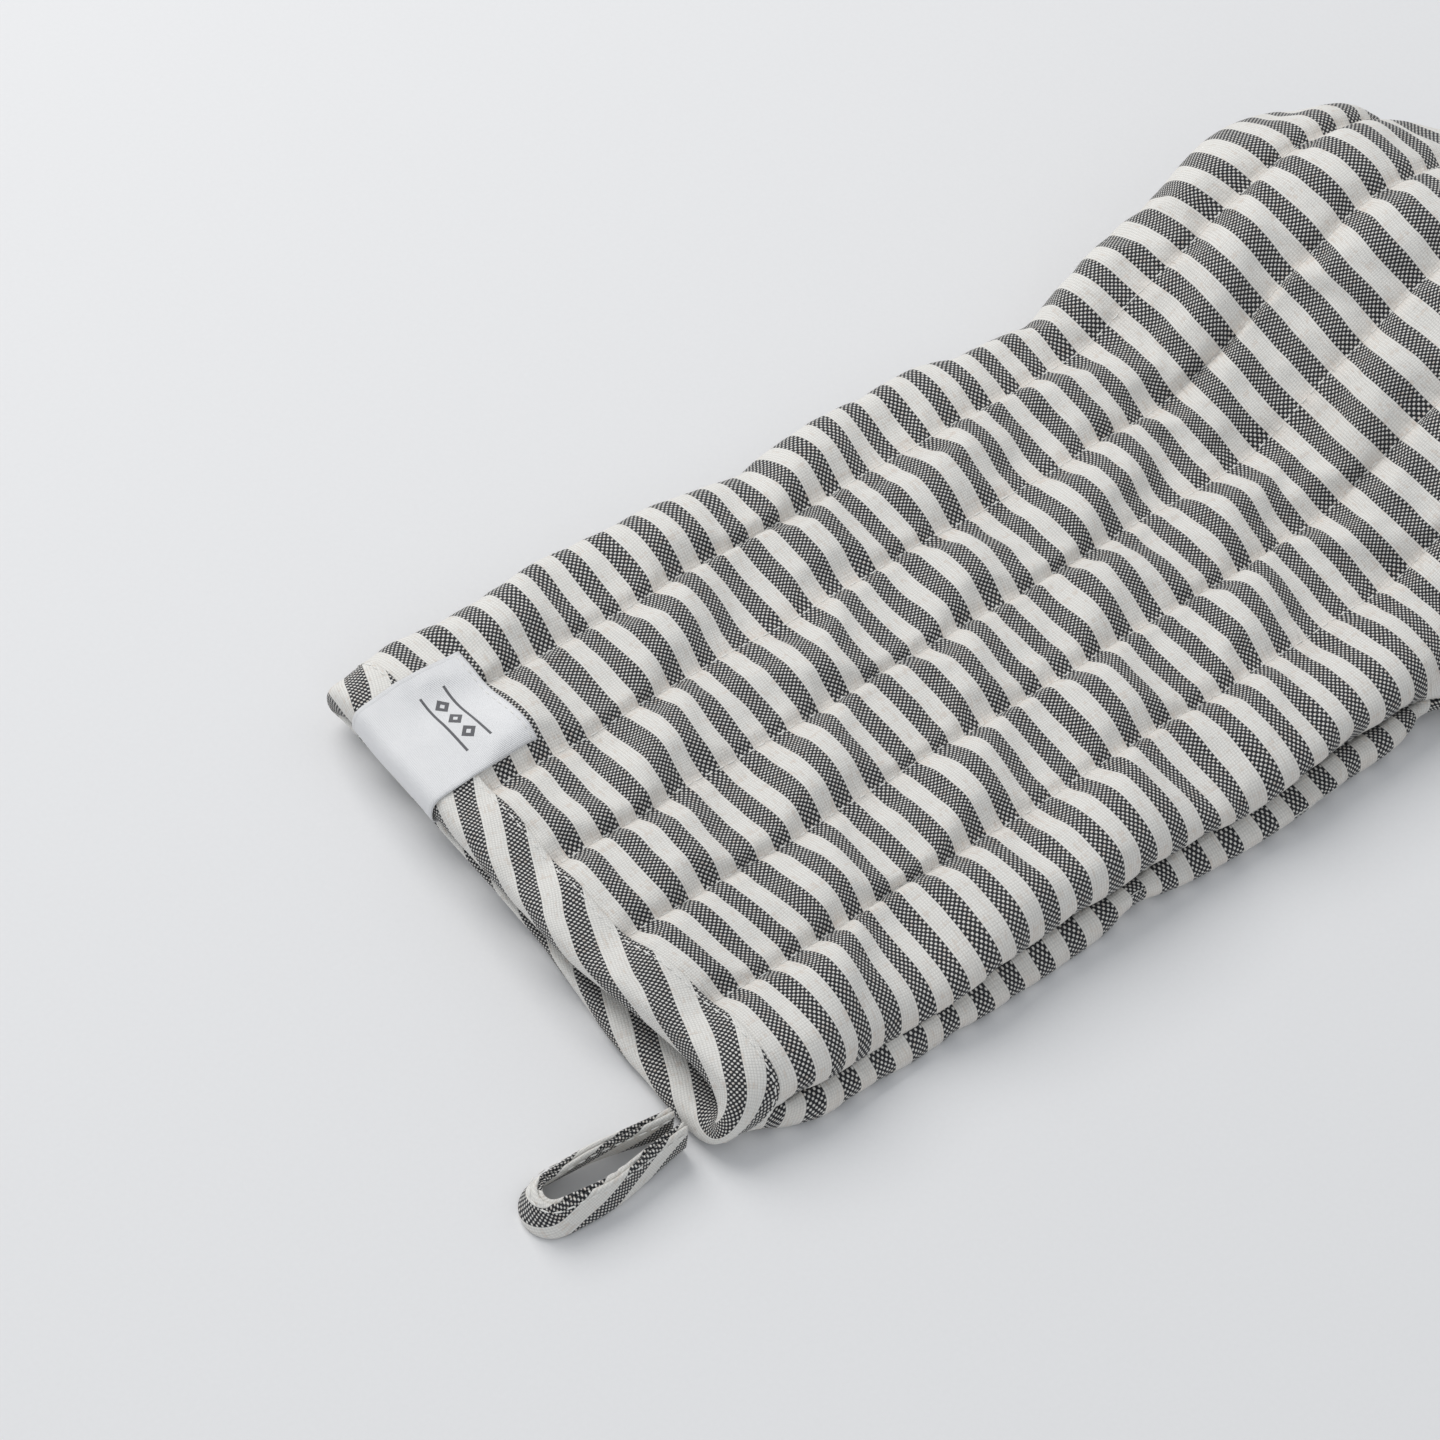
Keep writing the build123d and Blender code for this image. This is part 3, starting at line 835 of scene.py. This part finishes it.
class Wire:
    # a socket that takes part in plain arithmetic
    def __init__(self, tree, socket):
        self.tree = tree
        self.socket = socket

    def node(self, kind, settings=None, out=0, **inputs):
        made = self.tree.nodes.new(kind)
        for name, value in (settings or {}).items():
            setattr(made, name, value)
        for name, value in inputs.items():
            key = int(name[1:]) if name[0] == "n" and name[1:].isdigit() else name.replace("_", " ")
            if isinstance(value, Wire):
                self.tree.links.new(value.socket, made.inputs[key])
            else:
                made.inputs[key].default_value = value
        return Wire(self.tree, made.outputs[out])

    def math(self, operation, *values):
        given = {f"n{k}": v for k, v in enumerate(values)}
        return self.node("ShaderNodeMath", {"operation": operation}, **given)

    def __add__(self, other):
        return self.math("ADD", self, other)

    def __radd__(self, other):
        return self.math("ADD", other, self)

    def __sub__(self, other):
        return self.math("SUBTRACT", self, other)

    def __rsub__(self, other):
        return self.math("SUBTRACT", other, self)

    def __mul__(self, other):
        return self.math("MULTIPLY", self, other)

    def __rmul__(self, other):
        return self.math("MULTIPLY", other, self)

    def __truediv__(self, other):
        return self.math("DIVIDE", self, other)

    def __gt__(self, other):
        return self.math("GREATER_THAN", self, other)

    def __lt__(self, other):
        return self.math("LESS_THAN", self, other)

    def held(self, low, high):
        return self.node("ShaderNodeClamp", n0=self, n1=low, n2=high)

    def floor(self):
        return self.math("FLOOR", self)

    def part(self):
        return self.math("FRACT", self)

    def size(self):
        return self.math("ABSOLUTE", self)

    def sine(self):
        return self.math("SINE", self)

    def fall(self, width):
        # 1 at zero, fading over the given width
        return self.math("EXPONENT", (self.size() / width) * -1.0)

    def blend(self, first, second):
        # colours mixed by this value
        return self.node("ShaderNodeMix", {"data_type": "RGBA"}, out=2, n0=self, n6=first, n7=second)

    def random(self, other):
        joined = self.node("ShaderNodeCombineXYZ", n0=self, n1=other)
        return self.node("ShaderNodeTexWhiteNoise", {"noise_dimensions": "2D"}, Vector=joined)

    def noise(self, other, scale, detail=2.0):
        joined = self.node("ShaderNodeCombineXYZ", n0=self, n1=other)
        return self.node("ShaderNodeTexNoise", {"noise_dimensions": "2D"}, Vector=joined, Scale=scale,
                         Detail=detail)


def newMaterial(name):
    material = bpy.data.materials.new(name)
    material.use_nodes = True
    shader = material.node_tree.nodes["Principled BSDF"]
    return material, material.node_tree, shader


def clothPlace(tree):
    # the piece's own cloth coordinates, in millimetres
    start = Wire(tree, None)
    uv = start.node("ShaderNodeUVMap", {"uv_map": "cloth"})
    parts = tree.nodes.new("ShaderNodeSeparateXYZ")
    tree.links.new(uv.socket, parts.inputs[0])
    return Wire(tree, parts.outputs[0]) * 1000.0, Wire(tree, parts.outputs[1]) * 1000.0


def finish(tree, shader, colour, roughness, height, depth, strength=1.0):
    tree.links.new(colour.socket, shader.inputs["Base Color"])
    tree.links.new(roughness.socket, shader.inputs["Roughness"])
    bump = height.node("ShaderNodeBump", Height=height, Distance=depth * mm, Strength=strength)
    tree.links.new(bump.socket, shader.inputs["Normal"])


linen = {"end": 0.57, "pick": 0.71, "repeat": 10.0, "darkShare": 0.5, "darkMiddle": -1.0, "bindingPhase": 0.0,
         "white": (0.87, 0.855, 0.82, 1), "whiteSlub": (0.80, 0.78, 0.74, 1),
         "dark": (0.016, 0.017, 0.021, 1), "darkSlub": (0.048, 0.048, 0.052, 1),
         # the two gap colours are painted shade between the threads; in the dark stripes the gap colour also
         # stands for the dark picks below
         "paintedGapShade": (0.62, 0.61, 0.585, 1), "darkPickAndGapShade": (0.022, 0.023, 0.027, 1),
         # the row colour is painted warm shade in the sewn valleys
         "fleck": (0.60, 0.46, 0.36, 1), "rowValleyShade": (0.66, 0.53, 0.43, 1), "biasAngle": 27.0}


def plainWeave(u, v, end, pick):
    # which thread lies on top, and how high it stands
    column, row = (u / end).floor(), (v / pick).floor()
    across, up = (u / end).part() - 0.5, (v / pick).part() - 0.5
    pickOnTop = ((column + row) * 0.5).part() > 0.25
    endHill = (1.0 - across * across * 3.4) * (1.0 - up * up * 2.8)
    pickHill = (1.0 - up * up * 3.4) * (1.0 - across * across * 1.5)
    hill = endHill + pickOnTop * (pickHill - endHill)
    return column, row, pickOnTop, hill


def linenMaterial(name, turned, striped=True, rows=False):
    material, tree, shader = newMaterial(name)
    shader.inputs["Sheen Weight"].default_value = 0.12
    shader.inputs["Sheen Roughness"].default_value = 0.5
    shader.inputs["Specular IOR Level"].default_value = 0.25
    x, y = clothPlace(tree)
    u, v = x, y
    if turned:
        a = math.radians(linen["biasAngle"])
        u = x * math.cos(a) + y * math.sin(a)
        v = x * math.sin(a) - y * math.cos(a) + linen["bindingPhase"]
    drift = (u.noise(v, 0.045) - 0.5) * 1.5
    sway = (u.noise(v, 0.06) - 0.5) * 0.9
    u, v = u + sway, v + drift
    column, row, pickOnTop, hill = plainWeave(u, v, linen["end"], linen["pick"])
    endTone = column.random(0.5)
    pickTone = row.random(3.5)
    slub = (u * 0.10).noise(v * 1.1, 1.0, 1.0)
    endSlub = (u * 1.3).noise(v * 0.10, 1.0, 1.0)
    spot = (u * 0.35).noise(v * 1.2, 1.0, 2.0)
    middle = (row + 0.5) * linen["pick"] - linen["darkMiddle"] + linen["repeat"] * 0.5
    apart = ((middle / linen["repeat"]).part() - 0.5).size() * 2.0
    isDark = (apart < linen["darkShare"]) if striped else apart * 0.0
    white = (slub * 0.6 + 0.25).blend(linen["white"], linen["whiteSlub"])
    stained = (column * 0.37).noise(v * 0.07, 1.0, 1.0) * (endTone > 0.86)
    white = (stained * 0.7 + (spot - 0.6) * 3.0).held(0.0, 0.4).blend(white, linen["fleck"])
    darkTone = (pickTone * 0.7).blend(linen["dark"], linen["darkSlub"])
    pickColour = isDark.blend(white, darkTone)
    colour = pickOnTop.blend(white, pickColour)
    # painted shade: each thread darkens towards its sides and into the gaps between threads, by its height;
    # in the dark stripes the gap is partly the dark picks' own colour
    shown = isDark * (hill * 1.45 - 0.28).held(0.0, 1.0)
    shown = shown + (1.0 - isDark) * (hill * 0.9 + 0.12).held(0.0, 1.0)
    gapShadeColour = isDark.blend(linen["paintedGapShade"], linen["darkPickAndGapShade"])
    colour = shown.blend(gapShadeColour, colour)
    threadHeight = hill + (endTone - 0.5) * 0.25 + (pickTone - 0.5) * 0.35
    threadHeight = threadHeight + (slub - 0.5) * 0.5 + (endSlub - 0.5) * 0.5
    height = threadHeight * 0.10
    if rows:
        # the cloth puckers along its sewn rows, and is painted darker and warmer in them as shade in the sewn
        # valleys
        toRow = ((x / mitt["rowPitch"] + 0.5).part() - 0.5) * mitt["rowPitch"]
        pucker = (y * (2 * math.pi / thread["every"]) + x.noise(y, 0.25) * 7.0).sine()
        pucker = pucker * toRow.fall(2.6) * 0.16
        crumple = (x * 0.55).noise(y * 0.9, 0.35, 3.0) * toRow.fall(7.0) * 0.8
        height = height + pucker + crumple
        # painted shade: the white stripes darken to a warm beige in the valleys along the rows
        valleyShade = (toRow.fall(2.2) * (0.02 + x.noise(y, 0.2) * 0.4) * (1.0 - isDark)).held(0.0, 0.5)
        colour = valleyShade.blend(colour, linen["rowValleyShade"])
    height = height + u.noise(v, 0.12, 3.0) * 0.7
    roughness = 0.86 - hill * 0.06
    finish(tree, shader, colour, roughness, height, 1.0, 0.75)
    return material


def waddingMaterial():
    material, tree, shader = newMaterial("cotton_wadding")
    x, y = clothPlace(tree)
    fluff = x.noise(y, 0.8, 6.0)
    colour = fluff.blend((0.80, 0.78, 0.73, 1), (0.92, 0.91, 0.88, 1))
    finish(tree, shader, colour, 0.95 - fluff * 0.05, fluff, 0.8)
    return material


def threadMaterial():
    material, tree, shader = newMaterial("white_sewing_thread")
    shader.inputs["Sheen Weight"].default_value = 0.2
    start = Wire(tree, None)
    place = start.node("ShaderNodeTexCoord", out=3)
    twist = start.node("ShaderNodeTexNoise", Vector=place, Scale=2600.0, Detail=2.0)
    colour = twist.blend((0.70, 0.69, 0.66, 1), (0.90, 0.895, 0.87, 1))
    finish(tree, shader, colour, 0.62 + twist * 0.2, twist, 0.08)
    return material


satin = {"rib": 0.34, "weft": 0.5, "motif": 5.2, "motifUp": 12.5, "diamond": 2.1, "hole": 0.75,
         "rowHalf": 7.8, "lineHalf": 9.5, "lineOff": 3.4, "lineThick": 0.34, "edge": 14.9}


def satinMaterial():
    material, tree, shader = newMaterial("white_satin_ribbon")
    shader.inputs["Sheen Weight"].default_value = 0.15
    x, y = clothPlace(tree)
    rib = (x * (2 * math.pi / satin["rib"])).sine()
    weft = (y * (2 * math.pi / satin["weft"])).sine()
    # a woven row of three small diamonds between two lines
    step = ((x / satin["motif"] + 0.5).part() - 0.5) * satin["motif"]
    diamond = step.size() + (y - satin["motifUp"]).size()
    inRow = satin["rowHalf"] > x.size()
    mark = (satin["diamond"] > diamond) * (diamond > satin["hole"]) * inRow
    offLine = ((y - satin["motifUp"]).size() - satin["lineOff"]).size()
    lines = (satin["lineThick"] > offLine) * (satin["lineHalf"] > x.size())
    mark = mark.math("MAXIMUM", mark, lines)
    edge = (x.size() - satin["edge"]) > 0.0
    tone = x.noise(y, 0.25, 3.0)
    colour = (tone * 0.5 + rib * 0.08).blend((0.86, 0.86, 0.87, 1), (0.76, 0.76, 0.78, 1))
    colour = (mark * 0.9).blend(colour, (0.05, 0.05, 0.06, 1))
    colour = (edge * 0.35).blend(colour, (0.66, 0.66, 0.67, 1))
    height = rib * 0.05 + weft * 0.02 + mark * 0.12 + edge * 0.15
    finish(tree, shader, colour, 0.42 + mark * 0.2 + tone * 0.12, height, 0.6)
    return material


def floorMaterial():
    material, tree, shader = newMaterial("pale_paper")
    start = Wire(tree, None)
    place = start.node("ShaderNodeTexCoord", out=3)
    grain = start.node("ShaderNodeTexNoise", Vector=place, Scale=900.0, Detail=3.0)
    colour = grain.blend((0.80, 0.80, 0.81, 1), (0.83, 0.83, 0.84, 1))
    finish(tree, shader, colour, 0.9 + grain * 0.05, grain, 0.02)
    return material


lights = {
    "window": {"place": (-1.3, 0.0, 1.45), "size": 1.4, "energy": 24.0, "colour": (1.0, 0.985, 0.965)},
    "fill": {"place": (1.4, -1.2, 1.8), "size": 2.2, "energy": 5.5, "colour": (0.95, 0.975, 1.0)},
}
lightsAim = (0, 0.15, 0)
sky = {"colour": (0.93, 0.965, 1.0), "strength": 0.5}


def makeLights():
    for name, light in lights.items():
        data = bpy.data.lights.new(name, "AREA")
        data.energy = light["energy"]
        data.size = light["size"]
        data.color = light["colour"]
        obj = bpy.data.objects.new(name, data)
        obj.location = light["place"]
        obj.rotation_euler = (Vector(lightsAim) - obj.location).to_track_quat("-Z", "Y").to_euler()
        bpy.context.scene.collection.objects.link(obj)
    bpy.context.scene.view_settings.view_transform = "Standard"
    world = bpy.data.worlds.new("room")
    bpy.context.scene.world = world
    world.use_nodes = True
    background = world.node_tree.nodes["Background"]
    background.inputs[0].default_value = (*sky["colour"], 1)
    background.inputs[1].default_value = sky["strength"]


floorHalf = 3000


def makeFloor():
    corners = np.array([(-1, -1, 0), (1, -1, 0), (1, 1, 0), (-1, 1, 0)]) * floorHalf
    floor = makeMesh("table_top", corners, [[0, 1, 2, 3]])
    floor.data.materials.append(floorMaterial())


def seamLine(cloth, panel):
    # the sewn side seam, in order round the mitt
    outline = planOutline()
    on = np.flatnonzero(cloth["rim"] & (cloth["plan"][:, 1] > 16))
    place = [int(np.argmin(((outline - cloth["plan"][k]) ** 2).sum(1))) for k in on]
    on = on[np.argsort(place)]
    return panel["blown"][on]


makeCamera()
cloth = panelCloth()
print("cloth cut", len(cloth["flat"]), "points")
back = makePanel(cloth, True)
palm = makePanel(cloth, False)
cuffStrip, bindingLine = makeBinding(cloth, back, palm)
satinLabel, labelSeam = makeLabel(back, cuffStrip)
loop, loopEdges = makeLoop()

quilted = linenMaterial("striped_linen_quilted", turned=False, rows=True)
bias = linenMaterial("striped_linen_on_the_bias", turned=True)
plain = linenMaterial("plain_lining_linen", turned=False, striped=False)
cotton = waddingMaterial()
white = threadMaterial()
for panel in (back, palm):
    panel["shell"].data.materials.append(quilted)
    panel["padding"].data.materials.append(cotton)
    panel["lining"].data.materials.append(plain)
cuffStrip.data.materials.append(bias)
loop.data.materials.append(bias)
satinLabel.data.materials.append(satinMaterial())
print("materials made")

tree = stitchTree()
sew("back_quilting_stitches", list(back["rows"].values()), "mitt", ["back_quilting"], white, tree)
sew("palm_quilting_stitches", list(palm["rows"].values()), "mitt", ["palm_quilting"], white, tree)
sew("side_seam_stitches", [seamLine(cloth, back)], "mitt", ["seam_thread"], white, tree)
sew("binding_stitches", [bindingLine], "mitt", ["binding_stitch"], white, tree, closed=True)
sew("label_stitches", [labelSeam], "mitt", ["label_stitch"], white, tree, every=2.4, long=1.8, thick=0.3)
sew("loop_stitches", loopEdges, "loop", ["loop_tack"], white, tree)

makeFloor()
makeLights()
